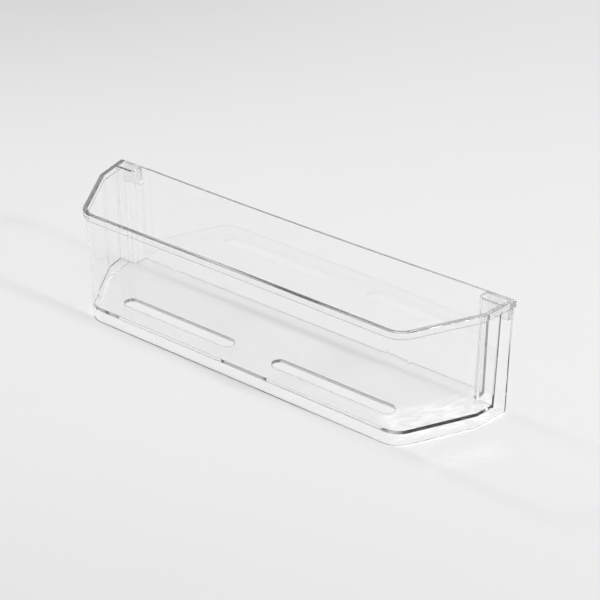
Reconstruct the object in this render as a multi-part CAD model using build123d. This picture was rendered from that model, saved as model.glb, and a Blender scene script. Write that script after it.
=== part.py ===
from build123d import *
import os

# Clear door shelf of a fridge: an open bin that hangs on the door by a channel in each back corner.
# Sizes are in millimetres. X runs along the shelf, +Y points to the door and +Z points up.
# Depths are measured forward from the flat back, which faces the door.

# Overall size, outside the rim
LENGTH = 450.0
DEPTH = 107.2
HEIGHT = 114.6

# Outline of the rim from above: each end turns in slightly, then steeply, on its way to the front.
# Distances in are measured from the end of the back.
TURN_IN = 6.8
TURN_DEPTH = 38.0
TURN_RADIUS = 7.0
FRONT_IN = 46.5

# Walls, which lean in towards the foot
WALL = 2.5
LEAN = 1.0
TOP_RADIUS = 20.0
FOOT_RADIUS = 22.0

# Rim that stands out from the front and the ends
RIM_OUT = 2.0
RIM_HEIGHT = 6.5

# Floor, raised on a skirt along the front and the ends that is a little thinner at the foot
FLOOR_TOP = 14.8
FLOOR_THICK = 3.5
SKIRT_FOOT = 2.0

# Slots through the floor, which let water out
SLOT_END = 69.5
SLOT_GAP = 47.0
SLOT_WIDTH = 14.0
SLOT_DEPTH = 75.5

# Column in each back corner, hollow and open behind for the door's lug
COLUMN_IN = 29.0
COLUMN_WALL = 3.0
COLUMN_TOP_DEPTH = 16.0
COLUMN_FOOT_DEPTH = 17.8
COLUMN_RADIUS = 5.5

# Strap that closes the top of each channel's back and rests on the lug
STRAP_THICK = 4.2
STRAP_HEIGHT = 19.5

# Rounded edges
TOP_ROUND = 0.4
RIM_ROUND = 0.3
FOOT_ROUND = 0.4
FLOOR_ROUND = 0.4

# How far cutting shapes run past what they cut
PAST = 5.0

FLOOR_UNDER = FLOOR_TOP - FLOOR_THICK
BACK_Y = DEPTH / 2
END_X = LENGTH / 2
SLOT_LENGTH = END_X - SLOT_END - SLOT_GAP / 2


def spot(end_in, depth):
    """Point at a distance in from the right end and a depth forward of the back."""
    return Vector(END_X - end_in, BACK_Y - depth)


def plan(z, inset, back, radius):
    """Outline at height z: the rim's outline moved in by inset, with its back edge at depth back."""
    back_end = spot(0, 0)
    turn = spot(TURN_IN, TURN_DEPTH)
    front_end = spot(FRONT_IN, DEPTH)
    rear_way = (back_end - turn).normalized()
    side_way = (front_end - turn).normalized()
    front_way = Vector(-1, 0)
    new_turn = turn + (rear_way + side_way) * (inset / rear_way.cross(side_way).length)
    new_front = front_end + (front_way - side_way) * (inset / front_way.cross(side_way).length)
    new_back = new_turn + rear_way * ((BACK_Y - back - new_turn.Y) / rear_way.Y)
    right = [new_back, new_turn, new_front]
    left = [Vector(-p.X, p.Y) for p in reversed(right)]
    outline = make_face(Polyline(*right, *left, close=True))
    outline = fillet(outline.vertices().group_by(Axis.Y)[0], radius)
    outline = fillet(outline.vertices().group_by(Axis.Y)[-2], TURN_RADIUS)
    return Pos(0, 0, z) * outline


def wall_plan(z, skin, back):
    """Outline of the leaning wall at height z, moved in by skin from its outer face."""
    share = z / HEIGHT
    inset = RIM_OUT + LEAN * (1 - share) + skin
    radius = FOOT_RADIUS + (TOP_RADIUS - FOOT_RADIUS) * share - skin
    return plan(z, inset, back, radius)


def column_plan(z, depth, skin):
    """Outline of the right column at height z, moved in by skin, run past the end wall and the back."""
    width = COLUMN_IN - skin + PAST
    length = depth - skin + PAST
    block = Pos(END_X + PAST - width / 2, BACK_Y + PAST - length / 2) * Rectangle(width, length)
    corner = block.vertices().group_by(Axis.X)[0].sort_by(Axis.Y)[0]
    return Pos(0, 0, z) * fillet(corner, COLUMN_RADIUS - skin)


def column(skin):
    """Right column from foot to rim, moved in by skin."""
    foot = column_plan(0, COLUMN_FOOT_DEPTH, skin)
    top = column_plan(HEIGHT, COLUMN_TOP_DEPTH, skin)
    return loft([foot, top], ruled=True)


def both(right):
    """A shape of the right end together with its mirror image at the left end."""
    return right + mirror(right, Plane.YZ)


# Walls and rim
shell = loft([wall_plan(0, 0, 0), wall_plan(HEIGHT, 0, 0)], ruled=True)
rim = extrude(plan(HEIGHT - RIM_HEIGHT, 0, 0, TOP_RADIUS + RIM_OUT), RIM_HEIGHT)
rim_edges = rim.faces().sort_by(Axis.Z)[0].edges().sort_by(Axis.Y)[:-1]
rim = fillet(rim_edges, RIM_ROUND)

# Columns, which take their room out of the bin and end at the floor
posts = both(column(0))
inside = loft([wall_plan(FLOOR_TOP, WALL, WALL), wall_plan(HEIGHT, WALL, WALL)], ruled=True) - posts

# Hollow below the floor, open behind
under = loft([wall_plan(0, SKIRT_FOOT, -PAST), wall_plan(FLOOR_UNDER, WALL, -PAST)], ruled=True)

# The bin's own floor is rounded into its walls
floor_edges = inside.faces().sort_by(Axis.Z)[0].edges()
inside = fillet(floor_edges, FLOOR_ROUND)

# Channels in the columns, open through the floor and closed behind by the straps. Their outer sides
# stand straight, so a lug that enters from below reaches the strap.
core = extrude(wall_plan(0, WALL, -PAST), HEIGHT)
strap = Pos(0, BACK_Y - STRAP_THICK, HEIGHT - STRAP_HEIGHT) * Box(
    LENGTH, DEPTH, HEIGHT, align=(Align.CENTER, Align.MIN, Align.MIN)
)
channels = both((column(COLUMN_WALL) & core) - strap)

shelf = shell + rim - inside - under - channels

# Slots
slot = extrude(SlotOverall(SLOT_LENGTH, SLOT_WIDTH), FLOOR_THICK)
for side in (-1, 1):
    shelf -= Pos(side * (SLOT_GAP + SLOT_LENGTH) / 2, BACK_Y - SLOT_DEPTH, FLOOR_UNDER) * slot

# Rounded edges of the rim and the foot
top_edges = shelf.faces().sort_by(Axis.Z)[-1].edges()
shelf = fillet(top_edges, TOP_ROUND)
foot_edges = shelf.faces().sort_by(Axis.Z)[0].edges()
shelf = fillet(foot_edges, FOOT_ROUND)

os.makedirs("parts", exist_ok=True)
export_step(shelf, "parts/door_shelf.step")
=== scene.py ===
"""Clear door shelf of a fridge on a pale table, under soft studio light."""

import logging
import math
from dataclasses import dataclass, field
from enum import Enum
from typing import Any, Optional, Union

import bmesh
import bpy
from mathutils import Euler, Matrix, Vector


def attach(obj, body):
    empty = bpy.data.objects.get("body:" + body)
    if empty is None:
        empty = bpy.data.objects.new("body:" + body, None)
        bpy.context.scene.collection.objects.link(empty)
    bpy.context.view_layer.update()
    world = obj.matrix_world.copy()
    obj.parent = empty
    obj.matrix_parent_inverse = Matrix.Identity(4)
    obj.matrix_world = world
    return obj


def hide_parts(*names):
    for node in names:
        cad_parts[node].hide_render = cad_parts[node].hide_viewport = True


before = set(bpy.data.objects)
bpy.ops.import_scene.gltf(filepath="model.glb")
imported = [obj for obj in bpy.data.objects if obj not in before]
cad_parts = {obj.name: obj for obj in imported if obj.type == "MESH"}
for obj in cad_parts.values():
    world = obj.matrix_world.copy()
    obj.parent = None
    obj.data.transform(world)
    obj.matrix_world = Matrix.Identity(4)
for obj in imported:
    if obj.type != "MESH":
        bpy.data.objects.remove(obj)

LOG = logging.getLogger("door_shelf")
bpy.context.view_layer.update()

Number = Union[int, float]
Span = tuple[float, float]
Place = tuple[float, float, float]
Colour = tuple[float, float, float]


class Node(str, Enum):
    """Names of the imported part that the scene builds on."""

    SHELF = "door_shelf"
    BODY = "root"
    FINISH = "clear_plastic"


class Sum(str, Enum):
    """Operations of a Math node that the finishes use."""

    ADD = "ADD"
    SUBTRACT = "SUBTRACT"
    MULTIPLY = "MULTIPLY"
    DIVIDE = "DIVIDE"
    POWER = "POWER"
    MAXIMUM = "MAXIMUM"
    GREATER = "GREATER_THAN"
    ABSOLUTE = "ABSOLUTE"


def add_object(name: str, data: bpy.types.ID) -> bpy.types.Object:
    """Add an object to the scene.

    Args:
        name: the object's name.
        data: its mesh, lamp or camera.

    Returns:
        The new object, at the origin.
    """
    made = bpy.data.objects.new(name, data)
    bpy.context.scene.collection.objects.link(made)
    return made


def turned(place: Place, aim: Place) -> Euler:
    """Rotation that turns a lamp or camera at a place towards its aim."""
    return (Vector(aim) - Vector(place)).to_track_quat("-Z", "Y").to_euler()


class Bench:
    """A node tree together with the one method that adds nodes to it."""

    def __init__(self, tree: bpy.types.NodeTree) -> None:
        """Start with an empty tree.

        Args:
            tree: the node tree to fill; its nodes are removed first.
        """
        self.tree = tree
        tree.nodes.clear()

    def add(
        self, kind: str, settings: Optional[dict[str, Any]] = None, **values: Any
    ) -> bpy.types.Node:
        """Add a node.

        Args:
            kind: the node's type name.
            settings: properties of the node, set before its sockets.
            values: socket names with spaces written as underscores, or in0, in1 for a place
                in the list.

        Returns:
            The new node.
        """
        node = self.tree.nodes.new(kind)
        for name, value in (settings or {}).items():
            setattr(node, name, value)
        for name, value in values.items():
            self.feed(self.socket(node, name), value)
        return node

    @staticmethod
    def socket(node: bpy.types.Node, name: str) -> bpy.types.NodeSocket:
        """Find an input socket by its written name.

        Args:
            node: the node that has the socket.
            name: the socket's name with underscores, or in followed by its place.

        Returns:
            The input socket.
        """
        if name.startswith("in") and name[2:].isdigit():
            return node.inputs[int(name[2:])]
        return node.inputs[name.replace("_", " ")]

    def feed(self, socket: bpy.types.NodeSocket, value: Any) -> None:
        """Link an input, or set its value.

        Args:
            socket: the input socket.
            value: a wrapped or plain output socket to link, or a value to set.
        """
        if isinstance(value, Wire):
            value = value.socket
        if isinstance(value, bpy.types.NodeSocket):
            self.tree.links.new(value, socket)
        else:
            socket.default_value = value

    def wire(
        self, kind: str, output: str, settings: Optional[dict[str, Any]] = None, **values: Any
    ) -> "Wire":
        """Add a node and wrap one of its outputs.

        Args:
            kind: the node's type name.
            output: the name of the output to wrap.
            settings: properties of the node.
            values: values or links of its input sockets.

        Returns:
            The wrapped output.
        """
        return Wire(self, self.add(kind, settings, **values).outputs[output])

    def blend(self, share: "Wire", first: Colour, second: Colour) -> "Wire":
        """Blend two colours, by the colour sockets of a Mix node.

        Args:
            share: zero for the first colour, one for the second.
            first: the colour at zero.
            second: the colour at one.

        Returns:
            The wrapped colour.
        """
        ends = {"in6": (*first, 1.0), "in7": (*second, 1.0)}
        node = self.add("ShaderNodeMix", {"data_type": "RGBA"}, in0=share, **ends)
        return Wire(self, node.outputs[2])


class Wire:
    """An output socket with arithmetic: each operation adds a Math node."""

    def __init__(self, bench: Bench, socket: bpy.types.NodeSocket) -> None:
        """Wrap a socket of the bench's tree."""
        self.bench = bench
        self.socket = socket

    def math(self, kind: Sum, first: Any, second: Any) -> "Wire":
        """Add a Math node.

        Args:
            kind: the operation.
            first: its first value or wire.
            second: its second value or wire.

        Returns:
            The wrapped result.
        """
        settings = {"operation": kind.value}
        return self.bench.wire("ShaderNodeMath", "Value", settings, in0=first, in1=second)

    def __add__(self, other: Union["Wire", Number]) -> "Wire":
        """Sum of two values."""
        return self.math(Sum.ADD, self, other)

    def __radd__(self, other: Number) -> "Wire":
        """Sum with a number on the left."""
        return self.math(Sum.ADD, other, self)

    def __sub__(self, other: Union["Wire", Number]) -> "Wire":
        """Difference of two values."""
        return self.math(Sum.SUBTRACT, self, other)

    def __rsub__(self, other: Number) -> "Wire":
        """Difference with a number on the left."""
        return self.math(Sum.SUBTRACT, other, self)

    def __mul__(self, other: Union["Wire", Number]) -> "Wire":
        """Product of two values."""
        return self.math(Sum.MULTIPLY, self, other)

    def __rmul__(self, other: Number) -> "Wire":
        """Product with a number on the left."""
        return self.math(Sum.MULTIPLY, other, self)

    def __truediv__(self, other: Union["Wire", Number]) -> "Wire":
        """Quotient of two values."""
        return self.math(Sum.DIVIDE, self, other)

    def __pow__(self, other: Number) -> "Wire":
        """Power of a value."""
        return self.math(Sum.POWER, self, other)

    def at_least(self, other: Union["Wire", Number]) -> "Wire":
        """The larger of two values."""
        return self.math(Sum.MAXIMUM, self, other)

    def above(self, other: Union["Wire", Number]) -> "Wire":
        """One where the value is larger than the other, else zero."""
        return self.math(Sum.GREATER, self, other)

    def below(self, other: Union["Wire", Number]) -> "Wire":
        """One where the value isn't larger than the other, else zero."""
        return 1 - self.above(other)

    def within(self, low: Number, high: Number) -> "Wire":
        """One where the value lies between two numbers, else zero."""
        return self.above(low) * self.below(high)

    def near(self, middle: Number, soft: Number) -> "Wire":
        """One within the soft distance of a number, falling to zero at twice that distance."""
        return (self - middle).size().ramp(2 * soft, soft)

    def size(self) -> "Wire":
        """The value without its sign."""
        return self.math(Sum.ABSOLUTE, self, 0.0)

    def ramp(self, start: Number, end: Number) -> "Wire":
        """Rise smoothly from zero to one.

        Args:
            start: the value where the rise begins.
            end: the value where it ends; smaller than the start for a fall.

        Returns:
            The wrapped share.
        """
        if start > end:
            return 1 - self.ramp(end, start)
        settings = {"interpolation_type": "SMOOTHSTEP"}
        ends = {"From_Min": start, "From_Max": end}
        return self.bench.wire("ShaderNodeMapRange", "Result", settings, Value=self, **ends)


@dataclass(frozen=True)
class PaintedDarkEdges:
    """Thin edges of the shelf that look dark, where shade is painted: their places in metres and
    their shares of painted shade.

    A face's level is one where it lies flat and zero where it stands upright.
    """

    # Level faces: the rim's underside, the top of the back wall and the foot
    flat_level: float = 0.8
    rim_under: float = 0.1081
    rim_soft: float = 0.0003
    back_top: float = 0.1143
    back_front: float = 0.0485
    back_half: float = 0.1990
    back_fade: Span = (0.195, 0.080)
    back_share: float = 0.55
    foot_top: float = 0.0006
    foot_fade: Span = (0.110, 0.070)
    foot_share: float = 0.85
    # Rounded seam between the floor and the front wall
    seam_heights: Span = (0.0147, 0.0154)
    seam_levels: Span = (0.15, 0.97)
    seam_half: float = 0.172
    # Far sides of the slots
    slot_far: float = -0.0149
    slot_soft: float = 0.0004
    slot_level: float = 0.5
    slot_half: float = 0.16
    slot_share: float = 0.5

    def mask(self, bench: Bench, x: Wire, y: Wire, z: Wire) -> Wire:
        """Work out where shade is painted on the plastic.

        Args:
            bench: the plastic's node tree.
            x: place along the shelf.
            y: place across the shelf.
            z: height above the foot.

        Returns:
            The share of painted shade.
        """
        normal = bench.wire("ShaderNodeNewGeometry", "Normal")
        level = bench.wire("ShaderNodeSeparateXYZ", "Z", Vector=normal).size()
        out = x.size()
        rim = z.near(self.rim_under, self.rim_soft)
        back = z.above(self.back_top) * y.above(self.back_front) * out.below(self.back_half)
        back = back * x.ramp(*self.back_fade) * self.back_share
        foot = z.below(self.foot_top) * x.ramp(*self.foot_fade) * self.foot_share
        flat = rim.at_least(back).at_least(foot) * level.above(self.flat_level)
        seam = z.within(*self.seam_heights) * level.within(*self.seam_levels)
        seam = seam * y.below(0.0) * out.below(self.seam_half)
        slot = y.near(self.slot_far, self.slot_soft) * level.below(self.slot_level)
        slot = slot * out.below(self.slot_half) * self.slot_share
        return flat.at_least(seam).at_least(slot)


@dataclass(frozen=True)
class ClearPlastic:
    """Clear moulded plastic: bends light, is a little blue along its length, is gently wavy, and
    has painted shade on thin edges.
    """

    name: str = "clear plastic"
    ior: float = 1.57
    tint: Colour = (0.998, 0.998, 1.0)
    # Gloss, with a little haze and slow waves
    shine: float = 0.004
    haze: float = 0.02
    haze_size: float = 60.0
    haze_detail: float = 3.0
    wave_size: float = 14.0
    wave_detail: float = 1.0
    wave_depth: float = 0.00012
    # Colour that light takes on along the walls
    long_tint: Colour = (0.62, 0.63, 0.655)
    long_density: float = 7.4
    # Painted shade on thin edges that look dark, and dull straps
    edges: PaintedDarkEdges = PaintedDarkEdges()
    painted_shade: Colour = (0.3, 0.3, 0.3)
    painted_shade_metal: float = 0.7
    strap_dull: float = 0.35
    strap_ends: Span = (0.1990, 0.2200)
    strap_front: float = 0.0492
    strap_under: float = 0.0949
    # What holds lamp light back: the foot, the top edge and walls seen edge on
    foot: float = 0.0012
    top: float = 0.1140
    top_block: float = 0.35
    edge_on: float = 40.0
    edge_block: float = 0.5

    def lamp_light(self, bench: Bench, z: Wire) -> Wire:
        """Work out how much lamp light goes straight through.

        Args:
            bench: the plastic's node tree.
            z: height above the foot.

        Returns:
            The share that passes: none at the foot, less at the top and through walls seen
            edge on, and none for rays that the plastic bends.
        """
        path = bench.add("ShaderNodeLightPath")
        shadow = Wire(bench, path.outputs["Is Shadow Ray"])
        soft = Wire(bench, path.outputs["Is Diffuse Ray"])
        facing = bench.wire("ShaderNodeLayerWeight", "Facing")
        side = z.above(self.foot) * (1 - self.top_block * z.above(self.top))
        passes = side * (1 - self.edge_block * facing**self.edge_on)
        return shadow.at_least(soft) * passes

    def build(self) -> bpy.types.Material:
        """Make the material.

        Returns:
            The material, which lets lamps through so that the table under the shelf is lit.
        """
        material = bpy.data.materials.new(self.name)
        material.use_nodes = True
        bench = Bench(material.node_tree)
        place = bench.wire("ShaderNodeTexCoord", "Object")
        axes = bench.add("ShaderNodeSeparateXYZ", Vector=place)
        x, y, z = (Wire(bench, socket) for socket in axes.outputs)
        haze = bench.wire(
            "ShaderNodeTexNoise", "Fac",
            Vector=place, Scale=self.haze_size, Detail=self.haze_detail,
        )
        wave = bench.wire(
            "ShaderNodeTexNoise", "Fac",
            Vector=place, Scale=self.wave_size, Detail=self.wave_detail,
        )
        bump = bench.wire(
            "ShaderNodeBump", "Normal", Strength=1.0, Distance=self.wave_depth, Height=wave
        )
        strap = x.size().within(*self.strap_ends)
        strap = strap * y.above(self.strap_front) * z.above(self.strap_under)
        # Painted shade: thin edges turn dark grey and partly metallic
        painted_shade = self.edges.mask(bench, x, y, z)
        plastic = bench.wire(
            "ShaderNodeBsdfPrincipled", "BSDF",
            Base_Color=bench.blend(painted_shade, self.tint, self.painted_shade),
            Metallic=self.painted_shade_metal * painted_shade,
            Roughness=self.shine + self.haze * haze * haze + self.strap_dull * strap,
            IOR=self.ior, Transmission_Weight=1.0, Normal=bump,
        )
        through = bench.wire("ShaderNodeBsdfTransparent", "BSDF")
        lamps = self.lamp_light(bench, z)
        surface = bench.wire(
            "ShaderNodeMixShader", "Shader", in0=lamps, in1=plastic, in2=through
        )
        inside = bench.wire(
            "ShaderNodeVolumeAbsorption", "Volume",
            Color=(*self.long_tint, 1.0), Density=self.long_density,
        )
        bench.add("ShaderNodeOutputMaterial", Surface=surface, Volume=inside)
        return material


@dataclass(frozen=True)
class PaintedGlint:
    """Painted patch of light on the table, standing for what the right front facet throws there,
    streaked along the facet.

    It starts at a corner of the facet, runs along it, and lies between a near and a far line.
    """

    length: float
    near: float
    far: float
    soft: float
    gain: float
    plain: float
    corner: Span = (0.177, -0.050)
    along: Span = (0.4976, 0.8674)
    long_streak: float = 55.0
    cross_streak: float = 190.0
    streak_detail: float = 4.0
    streak_bend: float = 1.6
    streak_levels: Span = (0.38, 0.62)

    def level(self, bench: Bench, x: Wire, y: Wire) -> Wire:
        """Work out how much brighter the painted light makes the table.

        Args:
            bench: the table's node tree.
            x: place along the shelf.
            y: place across the shelf.

        Returns:
            The added share of the table's own level.
        """
        right, back = x - self.corner[0], y - self.corner[1]
        run = right * self.along[0] + back * self.along[1]
        off = back * self.along[0] - right * self.along[1]
        spot = run.ramp(0.0, self.soft) * run.ramp(self.length, self.length - self.soft)
        spot = spot * off.ramp(self.near, self.near + self.soft)
        spot = spot * off.ramp(self.far, self.far - self.soft)
        flow = bench.wire(
            "ShaderNodeCombineXYZ", "Vector",
            X=run * self.long_streak, Y=off * self.cross_streak,
        )
        streaks = bench.wire(
            "ShaderNodeTexNoise", "Fac",
            Vector=flow, Scale=1.0, Detail=self.streak_detail, Distortion=self.streak_bend,
        )
        return spot * (self.plain + self.gain * streaks.ramp(*self.streak_levels))


@dataclass(frozen=True)
class PaleTable:
    """Matt pale surface that the shelf stands on, with painted shade making it a little darker
    away from the light.
    """

    name: str = "pale table"
    colour: Colour = (0.784, 0.7805, 0.778)
    spread: float = 0.012
    grain: float = 9.0
    grain_detail: float = 2.0
    roughness: float = 0.9
    # Painted shade: fall of light towards the viewer and away, less on the right
    near_way: Span = (0.608, -0.794)
    near_fade: float = 0.10
    near_reach: float = 0.6
    far_fade: float = 0.275
    far_reach: Span = (0.25, 1.35)
    skew_fade: float = 0.25
    skew_reach: float = 0.5
    # Painted light standing for what the shelf adds under itself and beside its right end
    painted_glow: float = 0.025
    painted_glow_half: Span = (0.205, 0.050)
    painted_glow_soft: float = 0.006
    painted_glints: tuple[PaintedGlint, ...] = (
        PaintedGlint(length=0.118, near=0.004, far=0.056, soft=0.012, gain=0.24, plain=0.03),
        PaintedGlint(length=0.095, near=-0.055, far=-0.012, soft=0.020, gain=0.04, plain=0.02),
    )

    def level(self, x: Wire, y: Wire) -> Wire:
        """Work out the table's painted shade, before its grain and its painted glints.

        Args:
            x: place along the shelf.
            y: place across the shelf.

        Returns:
            The share of the table's colour, painted darker away from the shelf.
        """
        near = x * self.near_way[0] + y * self.near_way[1]
        across = y * self.near_way[0] - x * self.near_way[1]
        side = self.far_fade - self.skew_fade * across.ramp(-self.skew_reach, self.skew_reach)
        ahead = self.near_fade * near.ramp(0.0, self.near_reach)
        return 1 - ahead - side * (0 - near).ramp(*self.far_reach)

    def under(self, x: Wire, y: Wire) -> Wire:
        """Mark the table under the shelf, where painted light makes it a little lighter.

        Args:
            x: place along the shelf.
            y: place across the shelf.

        Returns:
            One under the shelf, zero outside.
        """
        long, wide = self.painted_glow_half
        inside = x.size().ramp(long, long - self.painted_glow_soft)
        return inside * y.size().ramp(wide, wide - self.painted_glow_soft)

    def build(self) -> bpy.types.Material:
        """Make the material.

        Returns:
            The matt material, with painted shade away from the light and painted light standing
            for what the clear walls throw on it.
        """
        material = bpy.data.materials.new(self.name)
        material.use_nodes = True
        bench = Bench(material.node_tree)
        place = bench.wire("ShaderNodeTexCoord", "Object")
        axes = bench.add("ShaderNodeSeparateXYZ", Vector=place)
        x, y = Wire(bench, axes.outputs["X"]), Wire(bench, axes.outputs["Y"])
        cloud = bench.wire(
            "ShaderNodeTexNoise", "Fac",
            Vector=place, Scale=self.grain, Detail=self.grain_detail,
        )
        # Painted shade away from the light, random grain, and painted light under the shelf
        level = self.level(x, y) - self.spread * cloud + self.painted_glow * self.under(x, y)
        # Painted glints: light that the right front facet throws on the table
        for painted_glint in self.painted_glints:
            level = level + painted_glint.level(bench, x, y)
        shade = bench.wire(
            "ShaderNodeVectorMath", "Vector", {"operation": "SCALE"},
            in0=self.colour, Scale=level,
        )
        surface = bench.wire(
            "ShaderNodeBsdfPrincipled", "BSDF",
            Base_Color=shade, Roughness=self.roughness, Specular_IOR_Level=0.0,
        )
        bench.add("ShaderNodeOutputMaterial", Surface=surface)
        return material


@dataclass(frozen=True)
class WallBow:
    """Inward bow of the long walls: none at the floor and the ends, most at the rim's middle."""

    front: float = 0.0007
    back: float = 0.0021
    half: float = 0.180
    floor: float = 0.0148
    top: float = 0.1146
    inner: float = 0.045
    cuts: int = 24
    snap: float = 1e-6

    def build_tree(self) -> bpy.types.NodeTree:
        """Make the node tree that bows the walls.

        Returns:
            The tree, with its sizes as named inputs.
        """
        tree = bpy.data.node_groups.new("wall bow", "GeometryNodeTree")
        bench = Bench(tree)
        inputs = {"Geometry": "Geometry", **dict.fromkeys(self.sizes(), "Float")}
        for name, kind in {**inputs, "Finish": "Material"}.items():
            tree.interface.new_socket(name, in_out="INPUT", socket_type=f"NodeSocket{kind}")
        tree.interface.new_socket("Geometry", in_out="OUTPUT", socket_type="NodeSocketGeometry")
        given = bench.add("NodeGroupInput")
        size = {name: Wire(bench, given.outputs[name]) for name in self.sizes()}
        place = bench.wire("GeometryNodeInputPosition", "Position")
        axes = bench.add("ShaderNodeSeparateXYZ", Vector=place)
        x, y, z = (Wire(bench, socket) for socket in axes.outputs)
        along = x / size["Half length"]
        middle = (1 - along * along).at_least(0.0)
        rise = ((z - size["Floor"]) / (size["Top"] - size["Floor"])).at_least(0.0)
        in_front = (0 - y).above(size["Inner"]) * size["Front bow"]
        behind = y.above(size["Inner"]) * size["Back bow"]
        bow = (in_front - behind) * middle * rise
        moved = bench.wire(
            "GeometryNodeSetPosition", "Geometry", Geometry=given.outputs["Geometry"],
            Offset=bench.wire("ShaderNodeCombineXYZ", "Vector", Y=bow),
        )
        plain = bench.wire("GeometryNodeRealizeInstances", "Geometry", Geometry=moved)
        done = bench.wire(
            "GeometryNodeSetMaterial", "Geometry",
            Geometry=plain, Material=given.outputs["Finish"],
        )
        bench.add("NodeGroupOutput", in0=done)
        return tree

    def sizes(self) -> dict[str, float]:
        """Sizes by the names of the tree's inputs."""
        return {
            "Front bow": self.front, "Back bow": self.back, "Half length": self.half,
            "Floor": self.floor, "Top": self.top, "Inner": self.inner,
        }

    def cut(self, form: bmesh.types.BMesh) -> None:
        """Cut the mesh across the long walls, so that they can bend.

        Args:
            form: the mesh to cut, with straight walls.
        """
        for step in range(self.cuts + 1):
            middle = (self.half * (2 * step / self.cuts - 1), 0, 0)
            parts = [*form.verts, *form.edges, *form.faces]
            bmesh.ops.bisect_plane(
                form, geom=parts, dist=self.snap, plane_co=middle, plane_no=(1, 0, 0)
            )

    def bend(self, mesh: bpy.types.Mesh, finish: bpy.types.Material) -> bpy.types.Mesh:
        """Bow the walls of a mesh.

        Args:
            mesh: the mesh with straight walls, already cut across.
            finish: the material of the result.

        Returns:
            A new plain mesh with bowed walls.
        """
        holder = add_object("bending", mesh)
        modifier = holder.modifiers.new("wall bow", "NODES")
        modifier.node_group = self.build_tree()
        values = {**self.sizes(), "Finish": finish}
        for item in modifier.node_group.interface.items_tree:
            if item.in_out == "INPUT" and item.name in values:
                modifier[item.identifier] = values[item.name]
        state = bpy.context.evaluated_depsgraph_get()
        bent = bpy.data.meshes.new_from_object(holder.evaluated_get(state))
        holder.modifiers.remove(modifier)
        bpy.data.objects.remove(holder)
        return bent


@dataclass
class Shelf:
    """The moulded shelf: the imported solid's form with slightly bowed walls and even shading."""

    finish: ClearPlastic = field(default_factory=ClearPlastic)
    bow: WallBow = field(default_factory=WallBow)
    # Slots of the floor, and the rounding of their edges
    slot_middle: float = -0.0219
    slot_half: float = 0.0070
    slot_ends: Span = (0.0235, 0.1555)
    slot_round: float = 0.0005
    round_steps: int = 3
    round_profile: float = 0.5
    # Edges that are rounded, edges that stay crisp, and faces that count as one plane
    sharp: float = math.radians(60.0)
    crease: float = math.radians(35.0)
    flat: float = math.radians(0.05)
    weld: float = 1e-6

    def at_slot(self, place: Vector) -> bool:
        """Tell whether a place lies within the plan of a slot.

        Args:
            place: a point of the mesh.

        Returns:
            True at a slot, or just beside it.
        """
        first, last = self.slot_ends
        across = abs(place.y - self.slot_middle) < self.slot_half + self.slot_round
        return across and first - self.slot_round < abs(place.x) < last + self.slot_round

    def round_slots(self, form: bmesh.types.BMesh) -> None:
        """Round the sharp edges of the floor's slots, above and below.

        Args:
            form: the joined mesh, which is changed.
        """
        edges = [
            edge for edge in form.edges
            if edge.calc_face_angle(0.0) > self.sharp
            and all(self.at_slot(vert.co) for vert in edge.verts)
        ]
        bmesh.ops.bevel(
            form, geom=edges, offset=self.slot_round, segments=self.round_steps,
            profile=self.round_profile, affect="EDGES",
        )

    def corner_normals(self, form: bmesh.types.BMesh) -> list[Vector]:
        """Work out corner normals that keep flat faces flat and run rounded edges into them.

        Args:
            form: the joined mesh, with its face normals up to date.

        Returns:
            One normal for each corner of each face, in the mesh's own order.
        """
        least = math.cos(self.crease)
        pulls = {face: face.normal * face.calc_area() for face in form.faces}
        normals = []
        for face in form.faces:
            for corner in face.loops:
                near = (f for f in corner.vert.link_faces if f.normal.dot(face.normal) > least)
                normals.append(sum((pulls[f] for f in near), Vector()).normalized())
        return normals

    def shape(self) -> bpy.types.Mesh:
        """Make the shelf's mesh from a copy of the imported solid.

        Returns:
            The joined mesh with rounded slots and bowed walls, in its finish.
        """
        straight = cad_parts[Node.SHELF.value].data.copy()
        form = bmesh.new()
        form.from_mesh(straight)
        bmesh.ops.remove_doubles(form, verts=form.verts, dist=self.weld)
        bmesh.ops.dissolve_limit(
            form, angle_limit=self.flat, verts=form.verts, edges=form.edges
        )
        self.round_slots(form)
        self.bow.cut(form)
        for face in form.faces:
            face.smooth = True
            face.material_index = 0
        form.to_mesh(straight)
        form.free()
        return self.bow.bend(straight, self.finish.build())

    def build(self) -> bpy.types.Object:
        """Make the shelf and put it in place of the plain solid.

        Returns:
            The finished piece, riding on the part's body.
        """
        mesh = self.shape()
        mesh.name = "shelf"
        form = bmesh.new()
        form.from_mesh(mesh)
        form.normal_update()
        mesh.normals_split_custom_set(self.corner_normals(form))
        form.free()
        piece = add_object("shelf", mesh)
        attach(piece, Node.BODY.value)
        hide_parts(Node.SHELF.value)
        return piece


@dataclass(frozen=True)
class Lamp:
    """A soft square lamp."""

    name: str
    place: Place
    aim: Place
    width: float
    power: float

    def build(self) -> bpy.types.Object:
        """Hang the lamp in the scene.

        Returns:
            The lamp object.
        """
        data = bpy.data.lights.new(self.name, "AREA")
        data.shape = "SQUARE"
        data.size = self.width
        data.energy = self.power
        lamp = add_object(self.name, data)
        lamp.location = self.place
        lamp.rotation_euler = turned(self.place, self.aim)
        return lamp


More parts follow.
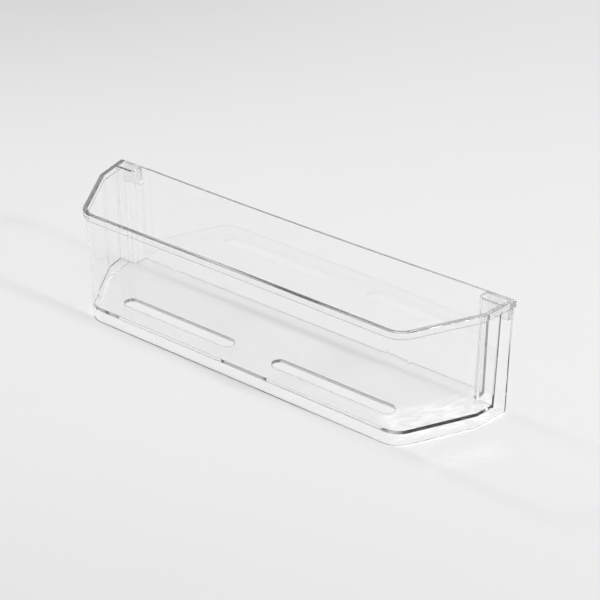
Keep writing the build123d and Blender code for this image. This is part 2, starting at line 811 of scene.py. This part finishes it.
@dataclass
class Studio:
    """Table, lamps, surroundings and camera."""

    table: PaleTable = field(default_factory=PaleTable)
    table_half: float = 6.0
    table_gap: float = 0.0003
    camera_place: Place = (0.8380, -1.0468, 0.8468)
    camera_aim: Place = (0.0224, 0.0180, 0.0591)
    lens: float = 102.94
    # Dim room with a bright backdrop
    room: Colour = (0.15, 0.152, 0.157)
    backdrop: Colour = (0.64, 0.64, 0.64)
    backdrop_way: Place = (-0.608, 0.794, 0.0)
    backdrop_edge: Span = (0.25, 0.65)
    bent_bounces: int = 96
    clear_bounces: int = 32
    lamps: tuple[Lamp, ...] = (
        Lamp("left softbox", (-4.0, 0.03, 2.94), (0.0, 0.0, 0.05), width=0.45, power=118.0),
        Lamp("right softbox", (4.0, 0.03, 2.94), (0.0, 0.0, 0.05), width=0.45, power=186.0),
        Lamp("top softbox", (0.0, 0.3, 2.0), (0.0, 0.0, 0.0), width=0.8, power=4.5),
    )

    def build_table(self) -> bpy.types.Object:
        """Lay the table, a hair's breadth below the foot.

        Returns:
            The table object.
        """
        mesh = bpy.data.meshes.new("table")
        form = bmesh.new()
        bmesh.ops.create_grid(form, x_segments=1, y_segments=1, size=self.table_half)
        form.to_mesh(mesh)
        form.free()
        mesh.materials.append(self.table.build())
        table = add_object("table", mesh)
        table.location.z = -self.table_gap
        return table

    def build_surroundings(self) -> None:
        """Surround the table with a dim room that has a bright backdrop behind the shelf."""
        world = bpy.data.worlds.new("room")
        bpy.context.scene.world = world
        world.use_nodes = True
        bench = Bench(world.node_tree)
        way = bench.wire("ShaderNodeTexCoord", "Generated")
        behind = bench.wire(
            "ShaderNodeVectorMath", "Value", {"operation": "DOT_PRODUCT"},
            in0=way, in1=self.backdrop_way,
        )
        colour = bench.blend(behind.ramp(*self.backdrop_edge), self.room, self.backdrop)
        sky = bench.wire("ShaderNodeBackground", "Background", Color=colour, Strength=1.0)
        bench.add("ShaderNodeOutputWorld", Surface=sky)

    def build_camera(self) -> bpy.types.Object:
        """Place the camera.

        Returns:
            The camera object.
        """
        data = bpy.data.cameras.new("camera")
        data.lens = self.lens
        camera = add_object("camera", data)
        camera.location = self.camera_place
        camera.rotation_euler = turned(self.camera_place, self.camera_aim)
        bpy.context.scene.camera = camera
        return camera

    def build(self) -> None:
        """Set up the whole studio, with bounces enough for light inside the clear walls."""
        self.build_table()
        for lamp in self.lamps:
            lamp.build()
        self.build_surroundings()
        self.build_camera()
        scene = bpy.context.scene
        scene.view_settings.view_transform = "Standard"
        scene.cycles.max_bounces = self.bent_bounces
        scene.cycles.glossy_bounces = self.bent_bounces
        scene.cycles.transmission_bounces = self.bent_bounces
        scene.cycles.transparent_max_bounces = self.clear_bounces


def main() -> None:
    """Build the shelf and its studio, and log the shelf's number of faces."""
    logging.basicConfig(level=logging.INFO, format="%(name)s: %(message)s")
    piece = Shelf().build()
    LOG.info("made %s with %d faces", piece.name, len(piece.data.polygons))
    Studio().build()


if __name__ == "__main__":
    main()
